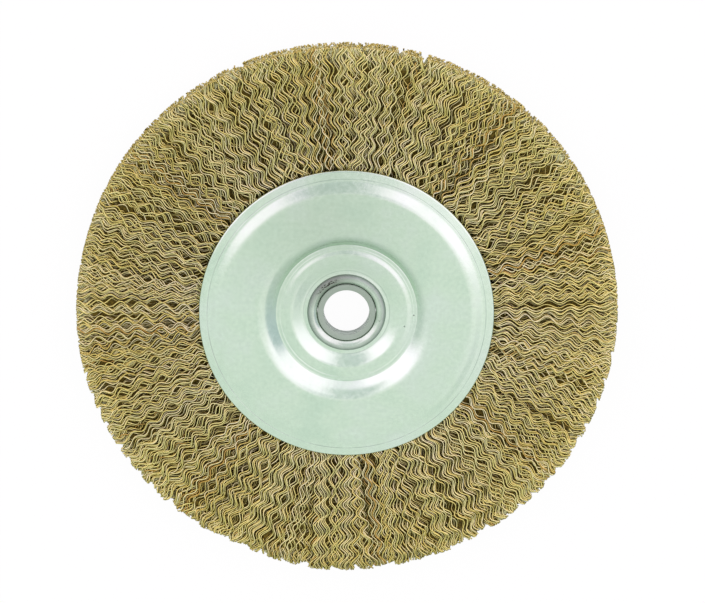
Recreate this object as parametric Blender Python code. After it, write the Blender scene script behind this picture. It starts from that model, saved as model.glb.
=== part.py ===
"""Crimped wire wheel brush, 150 mm across, lying flat with its axis on +Z.

Two dished steel side plates clamp a ring of crimped wire tufts. Each tuft is folded over a
steel core ring that sits in the plates' raised band, and its two legs run out to the rim.
The front leg is broad on the front face, the back leg on the back face, and each has a
ridge that runs through between the broad legs of the other side. A rolled eyelet holds the
plates together at the hub, and a reducer bush inside it gives the bore. Metres, origin at
the middle of the bore.
"""

import math

import bmesh
import bpy
from mathutils import Vector

# Gap left between pieces that touch on the real wheel.
CLEARANCE = 0.0003

# Wire face: the ring of tufts from the plates out to the trimmed rim.
WHEEL_RADIUS = 0.0750
PACK_HALF_AT_PLATE = 0.0026
PACK_HALF_AT_RIM = 0.0045
RIDGE_RELIEF_AT_RIM = 0.0008
TUFT_COUNT = 32
TUFT_GAP = 0.00045
CRIMP_PITCH = 0.0058
CRIMP_AMPLITUDE = 0.0007
TRIM_WANDER = 0.0010
TRIM_RUNOUT = 0.00075

# Core ring, and the thickness of wire folded over it.
RING_WIRE_RADIUS = 0.0019
FOLD_THICKNESS = 0.00175

# Side plates: sheet, then the bands of the pressing from the rim to the hub.
PLATE_RADIUS = 0.0408
SHEET = 0.0012
RIM_BAND = 0.0027
RIM_RISE = 0.00025
OUTER_BEND = 0.0032
INNER_BEND = 0.0049
INNER_BEND_HURRY = 0.65
VALLEY_BAND = 0.0015
VALLEY_DEPTH = 0.0004
SEAT_BEND = 0.0017
SEAT_BAND = 0.0011
SEAT_HEIGHT = 0.00185
DISH_BEND = 0.0035
HUB_BAND = 0.0011

# Eyelet and reducer bush.
BORE_RADIUS = 0.00635
REDUCER_WALL = 0.0016
REDUCER_RECESS = 0.0005
REDUCER_CHAMFER = 0.0002
EYELET_WALL = 0.0008
LIP_OVERLAP = 0.00155
LIP_HEIGHT = 0.00095

# Facets round the axis and round the sections.
PLATE_FACETS = 32
HUB_FACETS = 32
RING_FACETS = 32
RING_SECTION_FACETS = 6
LIP_ARC_FACETS = 5
FOLD_FACETS = 8

# Radii that follow from the sizes above, from the bore outwards.
REDUCER_RADIUS = BORE_RADIUS + REDUCER_WALL
EYELET_BORE = REDUCER_RADIUS + CLEARANCE
EYELET_RADIUS = EYELET_BORE + EYELET_WALL
PLATE_HOLE = EYELET_RADIUS + CLEARANCE
LIP_RADIUS = PLATE_HOLE + LIP_OVERLAP
HUB_FLAT = LIP_RADIUS + HUB_BAND
SEAT_INNER = HUB_FLAT + DISH_BEND
SEAT_OUTER = SEAT_INNER + SEAT_BAND
VALLEY_INNER = SEAT_OUTER + SEAT_BEND
VALLEY_OUTER = VALLEY_INNER + VALLEY_BAND
PLATEAU_INNER = VALLEY_OUTER + INNER_BEND
RIM_INNER = PLATE_RADIUS - RIM_BAND
PLATEAU_OUTER = RIM_INNER - OUTER_BEND
RING_RADIUS = (PLATEAU_INNER + PLATEAU_OUTER) / 2

# Half the angle between a tuft's front leg and its back leg.
LEG_OFFSET = math.pi / (2 * TUFT_COUNT)

# The fold round the core ring, measured from the centre of the ring's section. The inner
# side is a polygon, so its corners stand off further than its sides.
FOLD_STEP = 2 * math.pi / FOLD_FACETS
FOLD_INNER = (RING_WIRE_RADIUS + CLEARANCE) / math.cos(FOLD_STEP / 2)
FOLD_OUTER = FOLD_INNER + FOLD_THICKNESS

# Heights above the wheel's middle plane.
HUB_Z = CLEARANCE / 2 + SHEET
SEAT_Z = HUB_Z + SEAT_HEIGHT
VALLEY_Z = SEAT_Z - VALLEY_DEPTH
PLATEAU_Z = FOLD_OUTER + CLEARANCE + SHEET
RIM_Z = PACK_HALF_AT_PLATE + CLEARANCE + SHEET
LIP_UNDER_Z = HUB_Z + CLEARANCE
LIP_CREST_Z = LIP_UNDER_Z + LIP_HEIGHT
REDUCER_HALF = LIP_CREST_Z - REDUCER_RECESS

SHARP_EDGE = math.radians(35)


def clear_scene():
    for leftover in list(bpy.data.objects):
        bpy.data.objects.remove(leftover)


def metal(name, colour, roughness):
    """A bare or plated metal."""
    material = bpy.data.materials.new(name)
    material.use_nodes = True
    shader = material.node_tree.nodes["Principled BSDF"]
    shader.inputs["Base Color"].default_value = (*colour, 1.0)
    shader.inputs["Metallic"].default_value = 1.0
    shader.inputs["Roughness"].default_value = roughness
    return material


def piece(name, mesh, material):
    """Links the mesh as one named sub-part, smooth except at sharp edges."""
    mesh.shade_smooth()
    mesh.set_sharp_from_angle(angle=SHARP_EDGE)
    mesh.materials.clear()
    mesh.materials.append(material)
    made = bpy.data.objects.new(name, mesh)
    bpy.context.scene.collection.objects.link(made)
    return made


def turned(name, outline, facets, is_closed):
    """Mesh swept by spinning an outline of (radius, height) points about the Z axis."""
    build = bmesh.new()
    corners = [build.verts.new((radius, 0.0, height)) for radius, height in outline]
    links = list(zip(corners, corners[1:]))
    if is_closed:
        links.append((corners[-1], corners[0]))
    edges = [build.edges.new(link) for link in links]
    bmesh.ops.spin(
        build,
        geom=corners + edges,
        cent=(0, 0, 0),
        axis=(0, 0, 1),
        angle=2 * math.pi,
        steps=facets,
        use_merge=True,
    )
    bmesh.ops.recalc_face_normals(build, faces=build.faces)
    mesh = bpy.data.meshes.new(name)
    build.to_mesh(mesh)
    build.free()
    return mesh


def bend(start, end, inner_points, hurry=1.0):
    """Points of a smooth S between two pressed bands, without its two ends.

    A hurry below 1 makes the S steeper near its start.
    """
    points = []
    for step in range(1, inner_points + 1):
        share = step / (inner_points + 1)
        rise = (1 - math.cos(math.pi * share**hurry)) / 2
        radius = start[0] + (end[0] - start[0]) * share
        height = start[1] + (end[1] - start[1]) * rise
        points.append((radius, height))
    return points


def plate_outline():
    """Outer surface of the pressing, from the hub hole to the rim."""
    hub = (HUB_FLAT, HUB_Z)
    seat_inner = (SEAT_INNER, SEAT_Z)
    plateau_inner = (PLATEAU_INNER, PLATEAU_Z)
    plateau_outer = (PLATEAU_OUTER, PLATEAU_Z)
    valley_outer = (VALLEY_OUTER, VALLEY_Z)
    rim_inner = (RIM_INNER, RIM_Z + RIM_RISE)
    return [
        (PLATE_HOLE, HUB_Z),
        hub,
        *bend(hub, seat_inner, 2),
        seat_inner,
        (SEAT_OUTER, SEAT_Z),
        (VALLEY_INNER, VALLEY_Z),
        valley_outer,
        *bend(valley_outer, plateau_inner, 3, hurry=INNER_BEND_HURRY),
        plateau_inner,
        plateau_outer,
        *bend(plateau_outer, rim_inner, 2),
        rim_inner,
        (PLATE_RADIUS, RIM_Z),
    ]


def add_side_plates(zinc):
    """The front pressing, and the same pressing turned over for the back."""
    mesh = turned("side_plate", plate_outline(), PLATE_FACETS, is_closed=False)
    if sum(face.normal.z * face.area for face in mesh.polygons) < 0:
        mesh.flip_normals()
    for name, turn in (("front_plate", 0.0), ("rear_plate", math.pi)):
        plate = piece(name, mesh, zinc)
        plate.rotation_euler.x = turn
        wall = plate.modifiers.new("sheet", "SOLIDIFY")
        wall.thickness = SHEET
        wall.offset = -1.0
        wall.use_even_offset = True


def add_eyelet(steel):
    """Tube through both plates, with its two ends rolled out over them."""
    middle = (EYELET_BORE + LIP_RADIUS) / 2
    half_width = (LIP_RADIUS - EYELET_BORE) / 2
    upper = []
    for step in range(LIP_ARC_FACETS + 1):
        angle = math.pi * step / LIP_ARC_FACETS
        radius = middle - half_width * math.cos(angle)
        upper.append((radius, LIP_UNDER_Z + LIP_HEIGHT * math.sin(angle)))
    upper.append((EYELET_RADIUS, LIP_UNDER_Z))
    lower = [(radius, -height) for radius, height in reversed(upper)]
    mesh = turned("hub_eyelet", upper + lower, HUB_FACETS, is_closed=True)
    piece("hub_eyelet", mesh, steel)


def add_reducer(steel):
    """Plain bush inside the eyelet, chamfered at both mouths of the bore."""
    upper = [
        (BORE_RADIUS, REDUCER_HALF - REDUCER_CHAMFER),
        (BORE_RADIUS + REDUCER_CHAMFER, REDUCER_HALF),
        (REDUCER_RADIUS, REDUCER_HALF),
    ]
    lower = [(radius, -height) for radius, height in reversed(upper)]
    mesh = turned("bore_reducer", upper + lower, HUB_FACETS, is_closed=True)
    piece("bore_reducer", mesh, steel)


def add_core_ring(steel):
    """Steel hoop inside the raised band of the plates."""
    section = []
    for step in range(RING_SECTION_FACETS):
        angle = 2 * math.pi * step / RING_SECTION_FACETS
        radius = RING_RADIUS + RING_WIRE_RADIUS * math.cos(angle)
        section.append((radius, RING_WIRE_RADIUS * math.sin(angle)))
    mesh = turned("core_ring", section, RING_FACETS, is_closed=True)
    piece("core_ring", mesh, steel)


def bundle_corners(ridge, face, half_width, shift, turn):
    """Three corners of a bundle of wires: its ridge, then the two edges of its broad side.

    ridge and face are (radius, height). half_width and the crimp's shift are lengths along
    the arc, and turn is the leg's angle from the middle of the tuft.
    """
    corners = []
    for point, aside in ((ridge, 0.0), (face, -half_width), (face, half_width)):
        angle = turn + (shift + aside) / point[0]
        across = (point[0] * math.cos(angle), point[0] * math.sin(angle))
        corners.append(Vector((*across, point[1])))
    return corners


def room_beside(radius):
    """Half the width that a leg has at this radius, less the gap to its neighbour."""
    return math.pi * radius / TUFT_COUNT - TUFT_GAP


def leg_section(side, radius, shift):
    """Section of the front leg (side 1) or the back leg (side -1) in the wire face."""
    share = (radius - RIM_INNER) / (WHEEL_RADIUS - RIM_INNER)
    ridge_z = PACK_HALF_AT_PLATE + (PACK_HALF_AT_RIM - PACK_HALF_AT_PLATE) * share
    face_z = ridge_z - RIDGE_RELIEF_AT_RIM * share
    half_width = room_beside(radius) * (ridge_z + face_z) / (2 * ridge_z)
    ridge = (radius, -side * ridge_z)
    face = (radius, side * face_z)
    return bundle_corners(ridge, face, half_width, shift, side * LEG_OFFSET)


def leg_sections(side, tip_radius):
    """Sections of one leg from its tip to the plates, with a crimp at each half pitch."""
    half_pitch = CRIMP_PITCH / 2
    last_bend = WHEEL_RADIUS - TRIM_WANDER - TRIM_RUNOUT
    past_last = (tip_radius - last_bend) / half_pitch
    sections = [leg_section(side, tip_radius, CRIMP_AMPLITUDE * (1 - 2 * past_last))]
    for step in range(int((last_bend - RIM_INNER) / half_pitch)):
        radius = last_bend - step * half_pitch
        sections.append(leg_section(side, radius, CRIMP_AMPLITUDE * (-1) ** step))
    sections.append(leg_section(side, RIM_INNER, 0.0))
    return sections


def fold_sections():
    """Sections of the fold round the core ring, from the front leg to the back leg."""
    sections = []
    for step in range(1, FOLD_FACETS):
        along = (math.cos(FOLD_STEP * step), math.sin(FOLD_STEP * step))
        ridge = (RING_RADIUS + FOLD_INNER * along[0], FOLD_INNER * along[1])
        face = (RING_RADIUS + FOLD_OUTER * along[0], FOLD_OUTER * along[1])
        turn = LEG_OFFSET * max(-1, min(1, 2 - 4 * step / FOLD_FACETS))
        sections.append(bundle_corners(ridge, face, room_beside(face[0]), 0.0, turn))
    return sections


def skin(name, sections):
    """Closed mesh over a row of three-cornered sections."""
    build = bmesh.new()
    rings = [[build.verts.new(corner) for corner in section] for section in sections]
    for ring, following in zip(rings, rings[1:]):
        for corner in range(3):
            beside = (corner + 1) % 3
            loop = (ring[corner], ring[beside], following[beside], following[corner])
            build.faces.new(loop)
    build.faces.new(rings[0])
    build.faces.new(rings[-1])
    bmesh.ops.recalc_face_normals(build, faces=build.faces)
    mesh = bpy.data.meshes.new(name)
    build.to_mesh(mesh)
    build.free()
    return mesh


def add_tufts(brass):
    """Wire tufts round the ring. The trim repeats each quarter turn, so the wheel balances."""
    trim_lengths = TUFT_COUNT // 4
    for index in range(TUFT_COUNT):
        legs = []
        for side, trim_step in ((1, 5 * index), (-1, 5 * index + 3)):
            short = trim_step % trim_lengths / trim_lengths
            legs.append(leg_sections(side, WHEEL_RADIUS - TRIM_WANDER * short))
        front, back = legs
        back.reverse()
        name = f"wire_tuft_{index + 1:02d}"
        tuft = piece(name, skin(name, front + fold_sections() + back), brass)
        tuft.rotation_euler.z = 2 * math.pi * index / TUFT_COUNT


def main():
    clear_scene()
    zinc = metal("zinc_plate", (0.60, 0.73, 0.62), 0.30)
    steel = metal("eyelet_steel", (0.42, 0.45, 0.42), 0.35)
    bush = metal("reducer_steel", (0.36, 0.42, 0.37), 0.50)
    brass = metal("brass_coated_wire", (0.52, 0.40, 0.15), 0.35)
    add_side_plates(zinc)
    add_eyelet(steel)
    add_reducer(bush)
    add_core_ring(steel)
    add_tufts(brass)


main()
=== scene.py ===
"""Looks of the crimped wire wheel brush: every wire of the face, the fine form of the pressed
plates and the hub, their metals, the studio and the camera. Metres, in the frame of the CAD.
"""

import math
from collections import namedtuple

import bpy
import numpy as np
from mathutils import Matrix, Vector


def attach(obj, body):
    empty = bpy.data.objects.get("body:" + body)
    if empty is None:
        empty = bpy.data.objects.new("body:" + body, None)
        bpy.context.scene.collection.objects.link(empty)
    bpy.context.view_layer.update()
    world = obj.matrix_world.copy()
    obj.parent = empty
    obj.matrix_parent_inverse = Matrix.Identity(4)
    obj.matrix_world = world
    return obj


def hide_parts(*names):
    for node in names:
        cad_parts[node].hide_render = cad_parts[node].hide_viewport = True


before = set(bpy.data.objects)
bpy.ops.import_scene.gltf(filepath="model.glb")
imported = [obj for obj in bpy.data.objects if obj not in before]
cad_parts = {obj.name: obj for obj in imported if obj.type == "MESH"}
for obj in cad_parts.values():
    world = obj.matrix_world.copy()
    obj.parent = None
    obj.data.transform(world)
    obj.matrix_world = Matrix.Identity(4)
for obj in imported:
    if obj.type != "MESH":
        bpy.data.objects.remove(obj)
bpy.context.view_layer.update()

BODY = "root"
MM = 0.001
SEED = 7

# The photograph, in pixels, and the camera that fits it.
PHOTO_WIDTH = 705
PHOTO_HEIGHT = 603
WHEEL_CENTRE_PX = (346.55, 310.6)
FOCAL_PX = 3679.0
CAMERA_DISTANCE = 1.02
CAMERA_TILT = math.radians(15.4)
SENSOR_MM = 36.0

# Wire face: its size, and half its thickness, which grows outwards by the power of the swell.
WHEEL_RADIUS = 75.0 * MM
ROOT_RADIUS = 38.5 * MM
FACE_HALF_AT_PLATE = 2.7 * MM
FACE_HALF_AT_RIM = 4.05 * MM
FACE_SWELL = 0.9
SECTORS = 8
TUFTS = 32

# One wire. Its crimps weave up and down, and slip along it by a share of a crimp. It leans
# about its point at the pivot radius, and splays outside the splay radius.
WIRE_DIAMETER = 0.37 * MM
CRIMP_PITCH = 5.8 * MM
CRIMP_AMPLITUDE = 0.77 * MM
CREST_ROUNDING = 0.02
WEAVE = 0.16 * MM
SLIP = 0.06
SLIP_LENGTH = 2.6 * CRIMP_PITCH
PIVOT_RADIUS = 52 * MM
SPLAY_RADIUS = 66 * MM

# Rows of wire, one under the other: how far apart the wires of a row lie at their roots, how
# deep the first row of each set of locks lies, how much deeper the next one lies, and the
# share of its depth that a wire of the locks has lost at the rim.
TOP_SPACING = 0.70 * MM
UNDER_SPACING = 0.72 * MM
DEEP_SPACING = 0.75 * MM
BACK_SPACING = 0.80 * MM
UNDER_DEPTH = 0.55 * MM
DEEP_DEPTH = 1.10 * MM
ROW_STEP = 0.36 * MM
CLIMB = 0.55

# How far in the rows reach. Only the upper ones go in under the plate.
HIDDEN_END = 38 * MM
UNDER_END = 42 * MM
DEEP_END = 48 * MM

# Single wires outside the locks: their number, their depth below the face, and how far in
# they reach.
Fill = namedtuple("Fill", "count shallowest deepest inner_end")
DEEP_FILL = Fill(200, 1.0 * MM, 1.6 * MM, 39 * MM)
RIM_FILL = Fill(1100, 0.2 * MM, 2.2 * MM, 70 * MM)
RIM_CORE_FILL = Fill(2200, 1.8 * MM, 8.3 * MM, 71.5 * MM)
BACK_FILL = Fill(300, 0.4 * MM, 1.4 * MM, 50 * MM)

# Dark core of the pack: its inner radius, its depth below the face, how far its rim stays
# inside the wires', and its facets along and round.
PACK_INNER = 32.5 * MM
PACK_DEPTH = 1.7 * MM
PACK_DEPTH_AT_RIM = 0.95 * MM
PACK_MARGIN = 0.55 * MM
PACK_RINGS = 8
PACK_SEGMENTS = 600

# Where the stations of a wire lie in each crimp, in turns: close together at the crests.
FINE_STATIONS = np.array([22, 52, 78, 102, 128, 158, 202, 232, 258, 282, 308, 338]) / 360
COARSE_STATIONS = np.array([32, 72, 108, 148, 212, 252, 288, 328]) / 360
BACK_STATIONS = np.array([40, 90, 140, 220, 270, 320]) / 360

# Deep notches in the trimmed rim that the photograph shows: (angle in degrees, depth in mm).
NOTCHES_SEEN = ((73.3, 3.0), (78.5, 1.6), (86.5, 1.0), (93.3, 0.9), (112.8, 1.3))
NOTCH_HALF_WIDTH = 0.8 * MM

# The stretch of the rim where the notches are drawn at random, from and to, in degrees, and
# how far apart they lie there, in mm.
RANDOM_RIM = (122, 66 + 360)
NOTCH_SPACING = 7.2
RAGGED_SPACING = 5.0

# How far a deep notch pushes the ends of the wires aside, over what arc, and the depth from
# which it pushes fully.
PUSH = 0.4 * MM
PUSH_REACH = 1.1 * MM
PUSH_DEPTH = 2.0 * MM

# Where the rim is ragged, and where the locks are broad: (angle and spread in degrees).
RAGGED = (272, 70)
BROAD = (290, 65)

# Stretches of the rim that are worn shorter: (angle and spread in degrees, depth in mm).
WORN_SEEN = (
    (172, 25, 0.3),
    (218, 20, 0.7),
    (246, 11, 1.2),
    (280, 12, 0.3),
    (305, 22, 0.6),
    (340, 15, 0.3),
)

# Turns the random number of each wire into a second one.
LOT_SCRAMBLE = 29.0

# Side plate: its sheet, then the radii and the heights of its outer surface, from the hub hole
# to the rim, with its pressed lines.
SHEET = 1.2 * MM
PLATE_HOLE = 9.35 * MM
HUB_FLAT = 11.2 * MM
GROOVE_INNER = 11.45 * MM
GROOVE_OUTER = 11.95 * MM
SEAT_INNER = 15.9 * MM
SEAT_OUTER = 16.6 * MM
VALLEY_INNER = 18.2 * MM
VALLEY_OUTER = 19.6 * MM
PLATEAU_INNER = 25.2 * MM
PLATEAU_OUTER = 34.0 * MM
RIM_INNER = 38.3 * MM
RIM_LINE = 38.51 * MM
PLATE_RADIUS = 40.8 * MM
HUB_Z = 1.75 * MM
GROOVE_Z = 1.69 * MM
SEAT_Z = 3.1 * MM
VALLEY_Z = 2.8 * MM
LINE_HALF_WIDTH = 0.09 * MM
VALLEY_LINE_RISE = 0.04 * MM
PLATEAU_Z = 5.63 * MM
RIM_INNER_Z = 4.5 * MM
RIM_LINE_DIP = 0.04 * MM
RIM_Z = 4.2 * MM

# Eyelet and reducer bush.
BORE_RADIUS = 6.35 * MM
REDUCER_RADIUS = 8.05 * MM
REDUCER_HALF = 2.1 * MM
REDUCER_CHAMFER = 0.18 * MM
EYELET_RADIUS = 9.05 * MM
LIP_UNDER_Z = 1.76 * MM

# Rolled lip of the eyelet, from its bore over the crown to its foot: (radius, height) in mm.
LIP_SECTION = (
    (8.16, 1.76),
    (8.18, 1.84),
    (8.26, 1.95),
    (8.55, 2.26),
    (8.95, 2.57),
    (9.35, 2.73),
    (9.70, 2.79),
    (10.05, 2.78),
    (10.40, 2.67),
    (10.72, 2.38),
    (10.90, 1.76),
)

# Floor: half its side, the gap below the wheel, and the share of its own white that the
# camera sees.
FLOOR_HALF = 3.0
FLOOR_GAP = 0.02 * MM
FLOOR_OWN_WHITE = 0.96

# Facets round the axis, and the bend above which an edge of a turned piece is sharp.
SEGMENTS = 160
SHARP_ANGLE = math.radians(40)


def new_object(name, mesh, material):
    made = bpy.data.objects.new(name, mesh)
    bpy.context.scene.collection.objects.link(made)
    mesh.materials.append(material)
    return made


def mesh_from_arrays(name, points, quads, triangles):
    """Mesh from numpy arrays: (n, 3) points, (m, 4) quads and (k, 3) triangles."""
    mesh = bpy.data.meshes.new(name)
    mesh.vertices.add(len(points))
    mesh.vertices.foreach_set("co", points.astype(np.float32).ravel())
    corners = np.concatenate([quads.ravel(), triangles.ravel()]).astype(np.int32)
    mesh.loops.add(len(corners))
    mesh.loops.foreach_set("vertex_index", corners)
    sizes = np.concatenate([np.full(len(quads), 4), np.full(len(triangles), 3)])
    starts = np.concatenate([[0], np.cumsum(sizes)[:-1]]).astype(np.int32)
    mesh.polygons.add(len(sizes))
    mesh.polygons.foreach_set("loop_start", starts)
    mesh.update(calc_edges=True)
    mesh.validate()
    return mesh


# Turned pieces


def eased(start, end, count, hurry):
    """Points of a smooth S from start to end, both (radius, height), without the start.

    A hurry below 1 makes the S steeper near its start.
    """
    points = []
    for step in range(1, count + 1):
        share = step / count
        rise = (1 - math.cos(math.pi * share**hurry)) / 2
        radius = start[0] + (end[0] - start[0]) * share
        points.append((radius, start[1] + (end[1] - start[1]) * rise))
    return points


def coned(start, end, count, first, last):
    """Like eased, but a straight cone with fillets that take the first and last share of it."""
    steepest = 1 / (1 - (first + last) / 2)
    points = []
    for step in range(1, count + 1):
        share = step / count
        if share < first:
            rise = steepest * share**2 / (2 * first)
        elif share > 1 - last:
            rise = 1 - steepest * (1 - share) ** 2 / (2 * last)
        else:
            rise = steepest * (share - first / 2)
        radius = start[0] + (end[0] - start[0]) * share
        points.append((radius, start[1] + (end[1] - start[1]) * rise))
    return points


def evenly_round(segments):
    """Angles of that many even steps round the wheel."""
    return np.arange(segments) * 2 * math.pi / segments


def turned(name, outline, material, scale=np.ones(SEGMENTS)):
    """Closed smooth mesh, made by turning a closed (radius, height) outline about Z.

    The outline runs outwards on top and back below. The scale holds a factor on the radius
    for each segment.
    """
    outline = np.array(outline)
    count = len(outline)
    segments = len(scale)
    angles = evenly_round(segments)
    points = np.empty((segments, count, 3))
    points[..., 0] = (np.cos(angles) * scale)[:, None] * outline[:, 0]
    points[..., 1] = (np.sin(angles) * scale)[:, None] * outline[:, 0]
    points[..., 2] = outline[:, 1]
    ring = np.arange(segments)[:, None] * count
    after = (np.arange(segments)[:, None] + 1) % segments * count
    here = np.arange(count)[None, :]
    following = (here + 1) % count
    quads = np.stack([ring + here, ring + following, after + following, after + here], axis=-1)
    empty = np.empty((0, 3), int)
    mesh = mesh_from_arrays(name, points.reshape(-1, 3), quads.reshape(-1, 4), empty)
    mesh.shade_smooth()
    mesh.set_sharp_from_angle(angle=SHARP_ANGLE)
    return new_object(name, mesh, material)


def plate_outline():
    """Closed section of the front plate: the outer surface, the edge, then the inner one.

    Spare points beside each bend and pressed line keep the smooth shading close to it.
    """
    rim_inner = (RIM_INNER, RIM_INNER_Z)
    outer = [(PLATE_HOLE, HUB_Z), (HUB_FLAT, HUB_Z), (GROOVE_INNER, GROOVE_Z)]
    outer += [(GROOVE_OUTER - 0.2 * MM, GROOVE_Z), (GROOVE_OUTER, GROOVE_Z)]
    outer.append((GROOVE_OUTER + 0.12 * MM, HUB_Z))
    outer += coned(outer[-1], (SEAT_INNER, SEAT_Z), 14, first=0.12, last=0.30)
    outer.append((SEAT_OUTER, SEAT_Z))
    outer += coned(outer[-1], (VALLEY_INNER, VALLEY_Z), 8, first=0.35, last=0.25)
    for line in (VALLEY_INNER + 0.3 * MM, VALLEY_OUTER - 0.2 * MM):
        for step, rise in ((-2, 0.0), (-1, 0.0), (0, VALLEY_LINE_RISE), (1, 0.0), (2, 0.0)):
            outer.append((line + step * LINE_HALF_WIDTH, VALLEY_Z + rise))
    outer += eased(outer[-1], (PLATEAU_INNER, PLATEAU_Z), 18, hurry=0.56)
    outer += [(PLATEAU_INNER + 0.3 * MM, PLATEAU_Z), (PLATEAU_OUTER - 0.3 * MM, PLATEAU_Z)]
    outer.append((PLATEAU_OUTER, PLATEAU_Z))
    outer += coned(outer[-1], rim_inner, 14, first=0.45, last=0.22)
    slope = (RIM_Z - RIM_INNER_Z) / (PLATE_RADIUS - RIM_INNER)
    band = ((-0.09, 0.0), (0.0, RIM_LINE_DIP), (0.09, 0.0), (0.19, 0.0), (1.79, 0.0), (1.99, 0.0))
    for aside, dip in band:
        radius = RIM_LINE + aside * MM
        outer.append((radius, RIM_INNER_Z + slope * (radius - RIM_INNER) - dip))
    surface = np.array(outer)
    along = np.gradient(surface, axis=0)
    along /= np.linalg.norm(along, axis=1)[:, None]
    inner = surface + SHEET * np.stack([along[:, 1], -along[:, 0]], axis=1)
    inner[0] = (PLATE_HOLE, HUB_Z - SHEET)
    edge = [
        (PLATE_RADIUS - 0.12 * MM, RIM_Z - 0.08 * MM),
        (PLATE_RADIUS, RIM_Z - 0.28 * MM),
        (PLATE_RADIUS, RIM_Z - SHEET + 0.2 * MM),
        (PLATE_RADIUS - 0.15 * MM, RIM_Z - SHEET + 0.02 * MM),
    ]
    return outer + edge + [tuple(point) for point in inner[::-1]]


def add_plates(zinc):
    front = plate_outline()
    rear = [(radius, -height) for radius, height in reversed(front)]
    for name, outline in (("front_plate", front), ("rear_plate", rear)):
        plate = turned("pressed_" + name, outline, zinc)
        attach(plate, BODY)
        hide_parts(name)


def add_hub(steel, bush):
    """The rolled eyelet and the reducer bush inside it."""
    upper = [(radius * MM, height * MM) for radius, height in LIP_SECTION]
    upper.append((EYELET_RADIUS, LIP_UNDER_Z))
    lower = [(radius, -height) for radius, height in reversed(upper)]
    eyelet = turned("rolled_eyelet", upper + lower, steel)
    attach(eyelet, BODY)
    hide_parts("hub_eyelet")

    upper = [
        (BORE_RADIUS, REDUCER_HALF - REDUCER_CHAMFER),
        (BORE_RADIUS + 0.3 * REDUCER_CHAMFER, REDUCER_HALF - 0.3 * REDUCER_CHAMFER),
        (BORE_RADIUS + REDUCER_CHAMFER, REDUCER_HALF),
        (REDUCER_RADIUS - REDUCER_CHAMFER, REDUCER_HALF),
        (REDUCER_RADIUS, REDUCER_HALF - REDUCER_CHAMFER),
    ]
    lower = [(radius, -height) for radius, height in reversed(upper)]
    reducer = turned("turned_reducer", upper + lower, bush)
    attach(reducer, BODY)
    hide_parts("bore_reducer")


# Wires


def signed_turn(angle, centre):
    """Angle from the centre, between -pi and pi."""
    return (angle - centre + math.pi) % (2 * math.pi) - math.pi


def nearness(angle, degrees, spread):
    """One at the angle given in degrees, falling off smoothly to zero on both sides."""
    away = signed_turn(angle, math.radians(degrees))
    return np.exp(-((away / math.radians(spread)) ** 2))


def face_half(radius):
    """Half the thickness of the wire face at a radius."""
    share = np.clip((radius - ROOT_RADIUS) / (WHEEL_RADIUS - ROOT_RADIUS), 0, 1)
    return FACE_HALF_AT_PLATE + (FACE_HALF_AT_RIM - FACE_HALF_AT_PLATE) * share**FACE_SWELL


class Rim:
    """The trimmed rim: worn stretches, V notches between the locks, and ragged teeth below.

    The depths and widths that are drawn at random are in mm.
    """

    def __init__(self, rng):
        notches = []
        for angle, depth in NOTCHES_SEEN:
            notches.append((math.radians(angle), depth * MM, NOTCH_HALF_WIDTH, NOTCH_HALF_WIDTH))
        angle, end = (math.radians(degrees) for degrees in RANDOM_RIM)
        while angle < end:
            ragged = min(1.0, 1.6 * nearness(angle, *RAGGED))
            shallow = 0.25 + 1.2 * rng.uniform() ** 3
            tooth = rng.uniform(0.4, 1.7)
            depth = shallow * (1 - ragged) + tooth * ragged
            widths = [0.5, 0.5 + ragged * rng.uniform(1.0, 5.5)]
            rng.shuffle(widths)
            notches.append((angle, depth * MM, widths[0] * MM, widths[1] * MM))
            spacing = NOTCH_SPACING + (RAGGED_SPACING - NOTCH_SPACING) * ragged
            angle += spacing * rng.uniform(0.5, 1.5) * MM / WHEEL_RADIUS
        self.angles, self.depths, self.before, self.after = np.array(notches).T

    def beside(self, angle):
        """Arc lengths from each notch, (wires, notches)."""
        return signed_turn(angle[:, None], self.angles) * WHEEL_RADIUS

    def radius(self, angle):
        """Radius at which the wires are trimmed, at each angle."""
        wear_and_shade = sum(depth * nearness(angle, centre, spread) for centre, spread, depth in WORN_SEEN)
        away = self.beside(angle)
        share = np.maximum(away / self.after, -away / self.before)
        cut = self.depths * np.clip(1 - share, 0, 1)
        return WHEEL_RADIUS - wear_and_shade * MM - cut.max(axis=1)

    def push(self, angle):
        """How far the ends of the wires are spread away from the deep notches."""
        away = self.beside(angle)
        weight = np.exp(-((away / PUSH_REACH) ** 2)) * np.clip(self.depths / PUSH_DEPTH, 0, 1)
        return (PUSH * np.sign(away) * weight).sum(axis=1)


class Wires:
    """Parameters of wires: a row for each wire, and in the table an array for each parameter."""

    def __init__(self):
        self.rows = []

    def add(self, **values):
        self.rows.append(values)

    def table(self):
        return {key: np.array([row[key] for row in self.rows]) for key in self.rows[0]}


def make_locks(rng, spacing, depth):
    """Locks all round the wheel: bunches of wires that nest crimp in crimp.

    The wires of a lock fan out from their roots, and lean and bow together. Their crimps
    start at the same phase or a step apart, and weave up and down by the same roll.
    """
    locks = []
    angle = rng.uniform(0, 0.1)
    end = angle + 2 * math.pi
    while angle < end:
        broad = nearness(angle, *BROAD)
        count = int(rng.integers(1, 4 + round(5 * broad)))
        step = spacing * rng.uniform(0.80, 1.20)
        locks.append(
            dict(
                count=count,
                step=step,
                root=angle + count * step / ROOT_RADIUS / 2,
                depth=depth + rng.uniform(0.0, 0.30) * MM,
                fan=rng.uniform(0.55, 1.0),
                lean=rng.normal(0, 0.06),
                bow=rng.normal(0, 0.06),
                phase=rng.uniform(),
                phase_step=rng.normal(0, 0.06),
                pitch=CRIMP_PITCH * rng.uniform(0.95, 1.05),
                amplitude=CRIMP_AMPLITUDE * rng.uniform(0.7, 1.3),
                roll=rng.uniform(),
            )
        )
        angle += count * step / ROOT_RADIUS
    return locks


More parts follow.
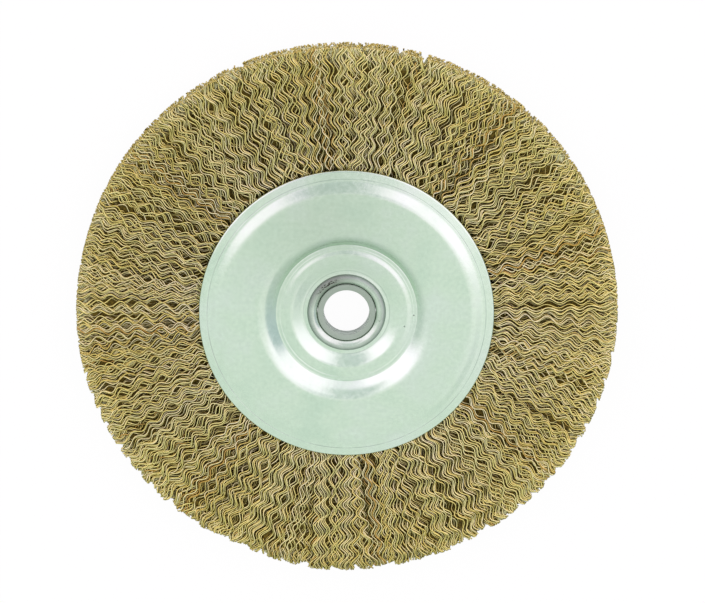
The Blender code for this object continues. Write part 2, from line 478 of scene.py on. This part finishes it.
def lock_wires(rng, locks, row):
    """Full-length wires of one row of the locks. Each row lies in the gaps of the one above."""
    wires = Wires()
    for lock in locks:
        for place in range(lock["count"]):
            across = place + 0.5 * row - (lock["count"] - 1) / 2
            wires.add(
                root=lock["root"],
                aside=across * lock["step"] + rng.normal(0, 0.05) * MM,
                fan=lock["fan"],
                lean=lock["lean"] + rng.normal(0, 0.025),
                bow=lock["bow"] + rng.normal(0, 0.03),
                phase=lock["phase"] + across * lock["phase_step"] + rng.normal(0, 0.02),
                pitch=lock["pitch"] * (1 + rng.normal(0, 0.006)),
                uneven=lock["phase"] + rng.normal(0, 0.04),
                amplitude=lock["amplitude"] * rng.uniform(0.90, 1.10),
                depth=lock["depth"] + row * ROW_STEP + rng.uniform(-0.08, 0.08) * MM,
                climb=CLIMB,
                roll=lock["roll"] + rng.normal(0, 0.05),
                splay=rng.normal(0, 0.5) * MM,
                short=abs(rng.normal(0, 0.06)) * MM,
            )
    return wires.table()


def loose_wires(rng, fill):
    """Single wires that lie between the locks, or fill the rim."""
    wires = Wires()
    for _ in range(fill.count):
        wires.add(
            root=rng.uniform(0, 2 * math.pi),
            aside=0.0,
            fan=1.0,
            lean=rng.normal(0, 0.13),
            bow=rng.normal(0, 0.08),
            phase=rng.uniform(),
            pitch=CRIMP_PITCH * rng.uniform(0.95, 1.05),
            uneven=rng.uniform(),
            amplitude=CRIMP_AMPLITUDE * rng.uniform(0.6, 1.35),
            depth=rng.uniform(fill.shallowest, fill.deepest),
            climb=0.0,
            roll=rng.uniform(),
            splay=rng.normal(0, 0.5) * MM,
            short=abs(rng.normal(0, 0.06)) * MM,
        )
    return wires.table()


def wire_angles(wire, radius):
    """Angle of each wire at each radius; wire holds columns and radius is (wires, stations)."""
    out = radius - ROOT_RADIUS
    span = WHEEL_RADIUS - ROOT_RADIUS
    slip = SLIP * np.sin(2 * math.pi * (out / SLIP_LENGTH + wire["uneven"]))
    turns = 2 * math.pi * (out / wire["pitch"] + wire["phase"] + slip)
    crimp = (np.sin(turns) + CREST_ROUNDING * np.sin(3 * turns)) / (1 - CREST_ROUNDING)
    spread = wire["aside"] * (radius / ROOT_RADIUS) ** wire["fan"]
    drift = wire["lean"] * (radius - PIVOT_RADIUS) + wire["bow"] * out * (out / span - 1)
    end = np.clip((radius - SPLAY_RADIUS) / (WHEEL_RADIUS - SPLAY_RADIUS), 0, 1)
    shift = spread + drift + wire["amplitude"] * crimp + wire["splay"] * end**2
    return wire["root"] + shift / radius


def station_radii(wire, tip, stations, count):
    """Radii of each wire's points: its tip, then inwards, close together at the crests."""
    per_crimp = len(stations)
    turns_at_tip = (tip - ROOT_RADIUS) / wire["pitch"] + wire["phase"]
    whole = np.floor(turns_at_tip)
    last = whole * per_crimp + np.searchsorted(stations, (turns_at_tip - whole)[:, 0])[:, None] - 1
    index = (last - np.arange(count - 1)).astype(int)
    turns = index // per_crimp + stations[index % per_crimp]
    inward = ROOT_RADIUS + (turns - wire["phase"]) * wire["pitch"]
    return np.concatenate([tip, inward], axis=1)


def wire_paths(table, rim, side, inner, stations):
    """Points along each wire, (wires, stations, 3), on the front (side 1) or back (-1)."""
    wire = {key: values[:, None] for key, values in table.items()}
    count = int((WHEEL_RADIUS - inner) / CRIMP_PITCH * len(stations)) + 1
    near_tip = np.full_like(wire["root"], WHEEL_RADIUS - 1.0 * MM)
    angle_at_tip = wire_angles(wire, near_tip)[:, 0]
    wire["splay"] = wire["splay"] + rim.push(angle_at_tip)[:, None]
    tip = rim.radius(angle_at_tip)[:, None] - wire["short"]
    radius = station_radii(wire, tip, stations, count)
    angle = wire_angles(wire, radius)
    out = radius - ROOT_RADIUS
    weave = WEAVE * np.sin(2 * math.pi * (out / wire["pitch"] + wire["roll"]))
    rise = 1 - wire["climb"] * np.clip(out / (WHEEL_RADIUS - ROOT_RADIUS), 0, 1)
    height = face_half(radius) - wire["depth"] * rise + weave
    clamped = RIM_Z - SHEET - WIRE_DIAMETER / 2
    height = np.minimum(height, clamped + np.maximum(radius - PLATE_RADIUS, 0))
    return np.stack([radius * np.cos(angle), radius * np.sin(angle), side * height], axis=-1)


def tubes(paths, side):
    """Three-sided tubes along the paths, each with a flat towards its face of the wheel.

    With smooth normals the flat reflects as the round back of a wire would.
    """
    wires, stations, _ = paths.shape
    along = np.gradient(paths, axis=1)
    along /= np.linalg.norm(along, axis=-1, keepdims=True)
    up = np.zeros_like(paths)
    up[..., 2] = side
    up -= along * np.sum(up * along, axis=-1, keepdims=True)
    up /= np.linalg.norm(up, axis=-1, keepdims=True)
    across = np.cross(along, up)
    reach = WIRE_DIAMETER / math.sqrt(3)
    ring = []
    for corner in range(3):
        turn = -math.pi / 2 + 2 * math.pi * corner / 3
        ring.append(paths + reach * (math.cos(turn) * across + math.sin(turn) * up))
    points = np.stack(ring, axis=2)
    first = (np.arange(wires)[:, None] * stations + np.arange(stations - 1)) * 3
    sides = []
    for corner in range(3):
        beside = (corner + 1) % 3
        loop = (first + corner, first + 3 + corner, first + 3 + beside, first + beside)
        sides.append(np.stack(loop, axis=-1))
    quads = np.stack(sides, axis=2).reshape(-1, 4)
    tip = np.arange(wires) * stations * 3
    root = tip + (stations - 1) * 3
    caps = np.concatenate(
        [
            np.stack([tip, tip + 1, tip + 2], axis=-1),
            np.stack([root + 2, root + 1, root], axis=-1),
        ]
    )
    return points.reshape(-1, 3), quads, caps


def add_wires(brass, rng, rim):
    """All the wires, in one piece for each sector of the wheel.

    A batch holds the wires, their side of the wheel (1 front, -1 back), how far in they reach
    and the stations along each crimp.
    """
    top = make_locks(rng, TOP_SPACING, 0.0)
    under = make_locks(rng, UNDER_SPACING, UNDER_DEPTH)
    deep = make_locks(rng, DEEP_SPACING, DEEP_DEPTH)
    back = make_locks(rng, BACK_SPACING, 0.0)
    batches = [
        (lock_wires(rng, top, 0), 1, HIDDEN_END, FINE_STATIONS),
        (lock_wires(rng, top, 1), 1, HIDDEN_END, COARSE_STATIONS),
        (lock_wires(rng, under, 0), 1, HIDDEN_END, COARSE_STATIONS),
        (lock_wires(rng, under, 1), 1, UNDER_END, COARSE_STATIONS),
        (lock_wires(rng, deep, 0), 1, DEEP_END, COARSE_STATIONS),
        (loose_wires(rng, DEEP_FILL), 1, DEEP_FILL.inner_end, BACK_STATIONS),
        (loose_wires(rng, RIM_FILL), 1, RIM_FILL.inner_end, COARSE_STATIONS),
        (loose_wires(rng, RIM_CORE_FILL), 1, RIM_CORE_FILL.inner_end, BACK_STATIONS),
        (lock_wires(rng, back, 0), -1, HIDDEN_END, BACK_STATIONS),
        (lock_wires(rng, back, 1), -1, HIDDEN_END, BACK_STATIONS),
        (loose_wires(rng, BACK_FILL), -1, BACK_FILL.inner_end, BACK_STATIONS),
    ]
    turn = 2 * math.pi / SECTORS
    half_tuft = math.pi / TUFTS
    for sector in range(SECTORS):
        parts = []
        offset = 0
        for table, side, inner, stations in batches:
            inside = (table["root"] + half_tuft) % (2 * math.pi) // turn == sector
            chosen = {key: values[inside] for key, values in table.items()}
            points, quads, caps = tubes(wire_paths(chosen, rim, side, inner, stations), side)
            parts.append((points, quads + offset, caps + offset))
            offset += len(points)
        points, quads, caps = (np.concatenate(kind) for kind in zip(*parts))
        name = f"crimped_wires_{sector + 1}"
        mesh = mesh_from_arrays(name, points, quads, caps)
        mesh.shade_smooth()
        piece = new_object(name, mesh, brass)
        first = sector * TUFTS // SECTORS
        tufts = [f"wire_tuft_{first + step + 1:02d}" for step in range(TUFTS // SECTORS)]
        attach(piece, BODY)
        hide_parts(*tufts)


def add_inner_pack(dark, rim):
    """The close-packed wire deep in the face, seen only between the wires, with a ragged rim."""
    outline = []
    reach = WHEEL_RADIUS - PACK_MARGIN
    for share in np.linspace(0, 1, PACK_RINGS):
        radius = PACK_INNER + share * (reach - PACK_INNER)
        depth = PACK_DEPTH + (PACK_DEPTH_AT_RIM - PACK_DEPTH) * share
        outline.append((radius, face_half(radius) - depth))
    outline += [(radius, -height) for radius, height in reversed(outline)]
    scale = (rim.radius(evenly_round(PACK_SEGMENTS)) - PACK_MARGIN) / reach
    pack = turned("inner_wire_pack", outline, dark, scale)
    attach(pack, BODY)


# Materials


class Nodes:
    """A node tree, with short calls to add and link nodes."""

    def __init__(self, tree):
        self.tree = tree
        self.place = self.node("ShaderNodeTexCoord").outputs

    def node(self, kind, **settings):
        made = self.tree.nodes.new(kind)
        for key, value in settings.items():
            setattr(made, key, value)
        return made

    def link(self, output, socket):
        self.tree.links.new(output, socket)

    def feed(self, socket, value):
        """Links a socket to an output, or sets it to a number or a colour."""
        if isinstance(value, (int, float)):
            socket.default_value = value
        elif isinstance(value, tuple):
            socket.default_value = (*value, 1.0)
        else:
            self.link(value, socket)

    def noise(self, scale, detail=3.0, roughness=0.55):
        texture = self.node("ShaderNodeTexNoise")
        texture.inputs["Scale"].default_value = scale
        texture.inputs["Detail"].default_value = detail
        texture.inputs["Roughness"].default_value = roughness
        self.link(self.place["Object"], texture.inputs["Vector"])
        return texture.outputs["Fac"]

    def ramp(self, source, *stops):
        """Colour ramp over (position, colour) stops."""
        made = self.node("ShaderNodeValToRGB")
        elements = made.color_ramp.elements
        while len(elements) < len(stops):
            elements.new(0.5)
        for element, (position, colour) in zip(elements, stops):
            element.position = position
            element.color = (*colour, 1.0)
        self.link(source, made.inputs["Fac"])
        return made.outputs["Color"]

    def remap(self, source, low, high, to_low, to_high):
        made = self.node("ShaderNodeMapRange")
        for socket, value in zip(made.inputs[1:5], (low, high, to_low, to_high)):
            socket.default_value = value
        self.link(source, made.inputs["Value"])
        return made.outputs["Result"]

    def mix(self, factor, first, second, blend="MIX"):
        made = self.node("ShaderNodeMix", data_type="RGBA", blend_type=blend)
        for value, index in ((factor, 0), (first, 6), (second, 7)):
            self.feed(made.inputs[index], value)
        return made.outputs[2]

    def math(self, operation, first, second=0.0):
        made = self.node("ShaderNodeMath", operation=operation)
        self.feed(made.inputs[0], first)
        self.feed(made.inputs[1], second)
        return made.outputs[0]

    def radius(self):
        """Distance from the wheel's axis."""
        flat = self.node("ShaderNodeVectorMath", operation="MULTIPLY")
        flat.inputs[1].default_value = (1, 1, 0)
        self.link(self.place["Object"], flat.inputs[0])
        length = self.node("ShaderNodeVectorMath", operation="LENGTH")
        self.link(flat.outputs[0], length.inputs[0])
        return length.outputs["Value"]

    def spot(self, centre_mm, inner_mm, outer_mm):
        """One near a point of the object, falling to zero further off."""
        distance = self.node("ShaderNodeVectorMath", operation="DISTANCE")
        distance.inputs[1].default_value = Vector(centre_mm) * MM
        self.link(self.place["Object"], distance.inputs[0])
        return self.remap(distance.outputs["Value"], inner_mm * MM, outer_mm * MM, 1.0, 0.0)


class Metal(Nodes):
    """The nodes of a new Principled material."""

    def __init__(self, name, metallic):
        self.material = bpy.data.materials.new(name)
        self.material.use_nodes = True
        super().__init__(self.material.node_tree)
        self.shader = self.tree.nodes["Principled BSDF"]
        self.shader.inputs["Metallic"].default_value = metallic

    def coat(self, colour, roughness):
        self.feed(self.shader.inputs["Base Color"], colour)
        self.feed(self.shader.inputs["Roughness"], roughness)

    def bump(self, height, strength, distance_mm):
        made = self.node("ShaderNodeBump")
        made.inputs["Strength"].default_value = strength
        made.inputs["Distance"].default_value = distance_mm * MM
        self.link(height, made.inputs["Height"])
        self.link(made.outputs["Normal"], self.shader.inputs["Normal"])


def zinc_material():
    """Zinc-plated sheet: pale green, softly clouded, with a fine grain and a few pits.

    Painted shade makes it a little darker above the hub, and draws a faint dark line in the groove and in
    the rim's pressed line.
    """
    nodes = Metal("zinc_plated_steel", metallic=1.0)
    clouds = nodes.noise(70, detail=4)
    colour = nodes.ramp(
        clouds,
        (0.30, (0.540, 0.705, 0.570)),
        (0.50, (0.590, 0.745, 0.605)),
        (0.70, (0.620, 0.750, 0.650)),
    )
    # Painted shade: the sheet is made a little darker above the hub.
    colour = nodes.mix(nodes.spot((-7, 28, 5), 3, 36), colour, (0.87, 0.86, 0.86), blend="MULTIPLY")
    for centre in ((18.6, -0.6, 2.9), (16.0, -3.7, 3.2), (-13.7, 3.9, 2.2), (-14.5, 4.1, 2.6)):
        colour = nodes.mix(nodes.spot(centre, 0.12, 0.30), colour, (0.20, 0.24, 0.20))
    radius = nodes.radius()
    patchy = nodes.remap(nodes.noise(110), 0.42, 0.60, 0.3, 1.0)
    # Painted shade: a faint, patchy dark line in the groove and in the rim's pressed line.
    for line, share in ((GROOVE_OUTER, 0.4), (RIM_LINE, 0.6)):
        inner = nodes.remap(radius, line - 0.15 * MM, line - 0.06 * MM, 0.0, share)
        outer = nodes.remap(radius, line + 0.06 * MM, line + 0.15 * MM, 1.0, 0.0)
        painted_crease_shade = nodes.math("MULTIPLY", patchy, nodes.math("MULTIPLY", inner, outer))
        colour = nodes.mix(painted_crease_shade, colour, (0.33, 0.40, 0.35))
    grain = nodes.noise(900, detail=4, roughness=0.65)
    speckle = nodes.ramp(grain, (0.35, (0.97, 0.97, 0.97)), (0.65, (1.03, 1.03, 1.03)))
    colour = nodes.mix(1.0, colour, speckle, blend="MULTIPLY")
    nodes.coat(colour, nodes.remap(grain, 0.3, 0.7, 0.15, 0.27))
    nodes.bump(grain, 0.4, 0.05)
    return nodes.material


def eyelet_material():
    """Bare steel, dull outside the crown of the lip and rust-specked on one stretch of it.

    Its colour has a painted highlight on the inner half of the lip and painted shade towards its foot,
    and it is darker over the upper left of the lip.
    """
    nodes = Metal("eyelet_steel", metallic=0.95)
    radius = nodes.remap(nodes.radius(), 8 * MM, 11 * MM, 0.0, 1.0)
    # The ramp paints a highlight on the inner half of the lip and shade towards its foot.
    steel = nodes.ramp(
        radius,
        (0.40, (0.56, 0.69, 0.57)),
        (0.58, (0.47, 0.58, 0.49)),
        (0.76, (0.38, 0.47, 0.40)),
        (0.92, (0.31, 0.40, 0.33)),
    )
    smudge = nodes.noise(420, detail=4)
    tone = nodes.ramp(smudge, (0.3, (0.86, 0.86, 0.86)), (0.7, (1.0, 1.0, 1.0)))
    steel = nodes.mix(1.0, steel, tone, blend="MULTIPLY")
    # Darker over the upper left of the lip.
    darkening = nodes.math("MULTIPLY", nodes.spot((-5.0, 9.0, 2.2), 2.5, 9.5), 0.70)
    steel = nodes.mix(darkening, steel, (0.205, 0.235, 0.200))
    crown = nodes.spot((-5.6, 8.0, 2.7), 2.4, 4.0)
    for start, end in ((0.34, 0.46), (0.76, 0.64)):
        crown = nodes.math("MULTIPLY", crown, nodes.remap(radius, start, end, 0.0, 1.0))
    specks = nodes.remap(nodes.noise(2600, detail=2), 0.48, 0.52, 0.0, 1.0)
    colour = nodes.mix(nodes.math("MULTIPLY", crown, specks), steel, (0.020, 0.014, 0.012))
    colour = nodes.mix(nodes.spot((9.1, -2.3, 2.5), 0.12, 0.34), colour, (0.05, 0.05, 0.045))
    nodes.coat(colour, nodes.remap(radius, 0.55, 0.75, 0.22, 0.60))
    nodes.bump(nodes.noise(1300, detail=3), 0.4, 0.03)
    return nodes.material


def reducer_material():
    """Matte plated bush, with painted light that makes its bore wall lighter than its face."""
    nodes = Metal("reducer_steel", metallic=0.6)
    smudge = nodes.noise(500, detail=4)
    face = nodes.ramp(smudge, (0.3, (0.305, 0.390, 0.310)), (0.7, (0.335, 0.425, 0.345)))
    # Painted light: the bore wall is made lighter than the face, against the shade in the hole.
    bore = nodes.remap(nodes.radius(), BORE_RADIUS + 0.05 * MM, BORE_RADIUS, 0.0, 1.0)
    colour = nodes.mix(bore, face, (0.56, 0.68, 0.58))
    nodes.coat(colour, nodes.remap(smudge, 0.3, 0.7, 0.45, 0.6))
    nodes.bump(nodes.noise(2500, detail=2), 0.15, 0.02)
    return nodes.material


def ring_material():
    """Bare drawn steel."""
    nodes = Metal("ring_steel", metallic=1.0)
    smudge = nodes.noise(300, detail=4)
    colour = nodes.ramp(smudge, (0.3, (0.30, 0.31, 0.30)), (0.7, (0.45, 0.46, 0.45)))
    nodes.coat(colour, nodes.remap(smudge, 0.3, 0.7, 0.3, 0.5))
    return nodes.material


def face_depth(nodes, radius):
    """Depth below the wire face."""
    split = nodes.node("ShaderNodeSeparateXYZ")
    nodes.link(nodes.place["Object"], split.inputs[0])
    half = nodes.remap(radius, ROOT_RADIUS, WHEEL_RADIUS, FACE_HALF_AT_PLATE, FACE_HALF_AT_RIM)
    return nodes.math("SUBTRACT", half, nodes.math("ABSOLUTE", split.outputs["Z"]))


def trimmed_ends(nodes, colour, island, radius, depth):
    """In the rim painted shade darkens some of the deeper ends, and all of them at the bottom of the
    picture.
    """
    lot = nodes.math("FRACT", nodes.math("MULTIPLY", island, LOT_SCRAMBLE))
    ends = nodes.remap(radius, 70 * MM, 73 * MM, 0.0, 1.0)
    deep_end = nodes.math("MULTIPLY", ends, nodes.remap(depth, 0.4 * MM, 1.2 * MM, 0.2, 1.0))
    # Painted shade on some of the deeper ends in the rim.
    shaded = nodes.math("MULTIPLY", deep_end, nodes.remap(lot, 0.40, 0.50, 0.60, 0.0))
    colour = nodes.mix(shaded, colour, (0.22, 0.18, 0.02))
    # Painted shade: all the ends at the bottom of the picture are darkened.
    wear_and_shade = nodes.math("MULTIPLY", ends, nodes.spot((0, -74, 3), 10, 50))
    return nodes.mix(wear_and_shade, colour, (0.74, 0.73, 0.60), blend="MULTIPLY")


def brass_material():
    """Brass-coated wire: bright along its back, with painted shade that makes it olive on its flanks
    and darker deep in the face.

    Painted shade also makes it a little darker in the upper left of the picture, and part of its
    gold grade by radius is painted shade.
    """
    nodes = Metal("brass_coated_wire", metallic=1.0)
    nodes.shader.inputs["Specular Tint"].default_value = (0.95, 0.85, 0.35, 1.0)
    island = nodes.node("ShaderNodeNewGeometry").outputs["Random Per Island"]
    back = nodes.ramp(
        island,
        (0.0, (0.66, 0.44, 0.17)),
        (0.04, (0.90, 0.82, 0.36)),
        (0.5, (1.0, 0.98, 0.52)),
        (1.0, (1.0, 0.98, 0.76)),
    )
    normal = nodes.node("ShaderNodeSeparateXYZ")
    nodes.link(nodes.place["Normal"], normal.inputs[0])
    upright = nodes.math("ABSOLUTE", normal.outputs["Z"])
    radius = nodes.radius()
    depth = face_depth(nodes, radius)
    inside = nodes.remap(radius, 66 * MM, 73 * MM, 1.0, 0.0)
    # Painted shade: the flanks of each wire, whose normals lean away from the wheel's axis, are darkened
    # to olive, less so at the rim.
    side = nodes.remap(upright, 0.92, 0.58, 0.0, 1.0)
    painted_flank_shade = nodes.math("MULTIPLY", side, nodes.remap(radius, 56 * MM, 74 * MM, 1.0, 0.6))
    colour = nodes.mix(painted_flank_shade, back, (0.33, 0.25, 0.008))
    # Gold tint graded by radius and multiplied in most on the flanks: the tint is the wire's own, its
    # darkening in the outer face and on the flanks is painted shade.
    outwards = nodes.remap(radius, 44 * MM, 75 * MM, 0.0, 1.0)
    gold_tint_and_shade = nodes.ramp(
        outwards,
        (0.0, (1.0, 1.0, 0.82)),
        (0.45, (0.90, 0.88, 0.54)),
        (0.80, (0.85, 0.815, 0.40)),
        (1.0, (1.0, 1.0, 0.72)),
    )
    colour = nodes.mix(nodes.remap(upright, 0.95, 0.70, 0.45, 1.0), colour, gold_tint_and_shade, blend="MULTIPLY")
    # Painted shade: the wires are a little darker in the upper left of the picture.
    colour = nodes.mix(nodes.spot((-60, 30, 3), 35, 80), colour, (0.92, 0.92, 0.92), blend="MULTIPLY")
    clouds = nodes.noise(160, detail=3)
    tone = nodes.ramp(clouds, (0.3, (0.86, 0.84, 0.78)), (0.7, (1.0, 1.0, 1.0)))
    colour = nodes.mix(1.0, colour, tone, blend="MULTIPLY")
    # Painted shade: wires deeper below the face are darkened, less so near the rim.
    second = nodes.remap(depth, 0.25 * MM, 0.55 * MM, 0.0, 0.5)
    deep = nodes.remap(depth, 0.55 * MM, 1.5 * MM, 0.0, 0.5)
    darkening = nodes.math("MULTIPLY", inside, nodes.math("ADD", second, deep))
    colour = nodes.mix(darkening, colour, (0.125, 0.092, 0.005))
    colour = trimmed_ends(nodes, colour, island, radius, depth)
    nodes.coat(colour, nodes.remap(clouds, 0.3, 0.7, 0.20, 0.32))
    return nodes.material


def dark_material():
    """Wire deep in the pack, in shade, and lighter at its cut ends in the rim."""
    nodes = Metal("packed_wire", metallic=0.2)
    nodes.shader.inputs["Specular IOR Level"].default_value = 0.2
    streaks = nodes.noise(1500, detail=3)
    # Painted shade: the deep pack is coloured near black, for the shade in the gaps between the wires.
    shade = nodes.ramp(streaks, (0.35, (0.05, 0.037, 0.004)), (0.65, (0.18, 0.135, 0.014)))
    ends = nodes.ramp(streaks, (0.40, (0.13, 0.11, 0.03)), (0.60, (0.76, 0.82, 0.46)))
    colour = nodes.mix(nodes.remap(nodes.radius(), 70 * MM, 73 * MM, 0.0, 1.0), shade, ends)
    nodes.coat(colour, nodes.remap(streaks, 0.3, 0.7, 0.6, 0.8))
    nodes.bump(streaks, 0.6, 0.2)
    return nodes.material


# Studio


def add_floor():
    """White floor. To the camera it is mostly its own white, so the shadow stays light."""
    height = -PLATEAU_Z - FLOOR_GAP
    signs = ((-1, -1), (1, -1), (1, 1), (-1, 1))
    corners = [(x * FLOOR_HALF, y * FLOOR_HALF, height) for x, y in signs]
    mesh = bpy.data.meshes.new("floor")
    mesh.from_pydata(corners, [], [(0, 1, 2, 3)])
    nodes = Metal("white_floor", metallic=0.0)
    nodes.coat((0.92, 0.92, 0.92), 0.9)
    nodes.shader.inputs["Specular IOR Level"].default_value = 0.0
    glow = nodes.node("ShaderNodeEmission")
    seen = nodes.node("ShaderNodeLightPath").outputs["Is Camera Ray"]
    blend = nodes.node("ShaderNodeMixShader")
    nodes.link(nodes.math("MULTIPLY", seen, FLOOR_OWN_WHITE), blend.inputs["Fac"])
    nodes.link(nodes.shader.outputs["BSDF"], blend.inputs[1])
    nodes.link(glow.outputs["Emission"], blend.inputs[2])
    output = nodes.tree.nodes["Material Output"]
    nodes.link(blend.outputs["Shader"], output.inputs["Surface"])
    new_object("floor", mesh, nodes.material)


def add_world():
    """White to the camera. To the object it is a pale room with two tall softboxes beyond the
    top of the picture, at the right and the left, a dim patch high between them and overhead,
    and a duller foot to the walls.

    A band holds the elevations in degrees between which it takes over from the one below, and
    its colours by azimuth in degrees.
    """
    box = (1.76, 1.44, 1.72)
    soft = (1.32, 1.15, 1.34)
    glow = (1.20, 1.12, 1.16)
    pale = (0.97, 0.97, 0.96)
    dim = (0.82, 0.83, 0.86)
    shade = (0.73, 0.75, 0.86)
    foot = (0.73, 0.77, 0.74)
    bands = (
        (-90, -89, (-175, foot), (-35, foot), (-12, shade), (13, shade), (22, box), (72, box), (82, soft),
         (100, soft), (108, box), (158, box), (174, foot)),
        (8, 28, (-60, pale), (-42, foot), (-10, shade), (9, shade), (18, box), (70, box), (80, soft),
         (102, soft), (112, box), (160, box), (176, pale)),
        (32, 42, (-70, pale), (-14, glow), (4, box), (66, box), (76, dim), (121, dim), (132, box),
         (163, box), (178, glow)),
        (68, 78, (-165, glow), (-145, pale), (-60, pale), (-34, glow), (-12, box), (40, soft), (62, dim),
         (120, dim), (150, glow)),
        (82, 88, (0, (0.92, 0.92, 0.89))),
    )
    world = bpy.data.worlds.new("studio")
    bpy.context.scene.world = world
    world.use_nodes = True
    nodes = Nodes(world.node_tree)
    split = nodes.node("ShaderNodeSeparateXYZ")
    nodes.link(nodes.place["Generated"], split.inputs[0])
    azimuth = nodes.math("ARCTAN2", split.outputs["Y"], split.outputs["X"])
    turn = nodes.remap(azimuth, -math.pi, math.pi, 0.0, 1.0)
    room = pale
    for start, end, *stops in bands:
        band = nodes.ramp(turn, *(((angle + 180) / 360, colour) for angle, colour in stops))
        sines = (math.sin(math.radians(start)), math.sin(math.radians(end)))
        room = nodes.mix(nodes.remap(split.outputs["Z"], *sines, 0.0, 1.0), room, band)
    seen = nodes.node("ShaderNodeLightPath").outputs["Is Camera Ray"]
    colour = nodes.mix(seen, room, (1.0, 1.0, 1.0))
    nodes.link(colour, nodes.tree.nodes["Background"].inputs["Color"])


def add_camera():
    data = bpy.data.cameras.new("camera")
    data.sensor_width = SENSOR_MM
    data.lens = FOCAL_PX / PHOTO_WIDTH * SENSOR_MM
    data.shift_x = (PHOTO_WIDTH / 2 - WHEEL_CENTRE_PX[0]) / PHOTO_WIDTH
    data.shift_y = (WHEEL_CENTRE_PX[1] - PHOTO_HEIGHT / 2) / PHOTO_WIDTH
    camera = bpy.data.objects.new("camera", data)
    camera.location = (
        0,
        CAMERA_DISTANCE * math.sin(CAMERA_TILT),
        CAMERA_DISTANCE * math.cos(CAMERA_TILT),
    )
    camera.rotation_euler = (-CAMERA_TILT, 0, 0)
    bpy.context.scene.collection.objects.link(camera)
    bpy.context.scene.camera = camera


def main():
    add_camera()
    add_plates(zinc_material())
    add_hub(eyelet_material(), reducer_material())
    rng = np.random.default_rng(SEED)
    rim = Rim(rng)
    add_wires(brass_material(), rng, rim)
    add_inner_pack(dark_material(), rim)
    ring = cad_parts["core_ring"]
    ring.material_slots[0].material = ring_material()
    add_floor()
    add_world()
    bpy.context.scene.view_settings.view_transform = "Standard"


main()
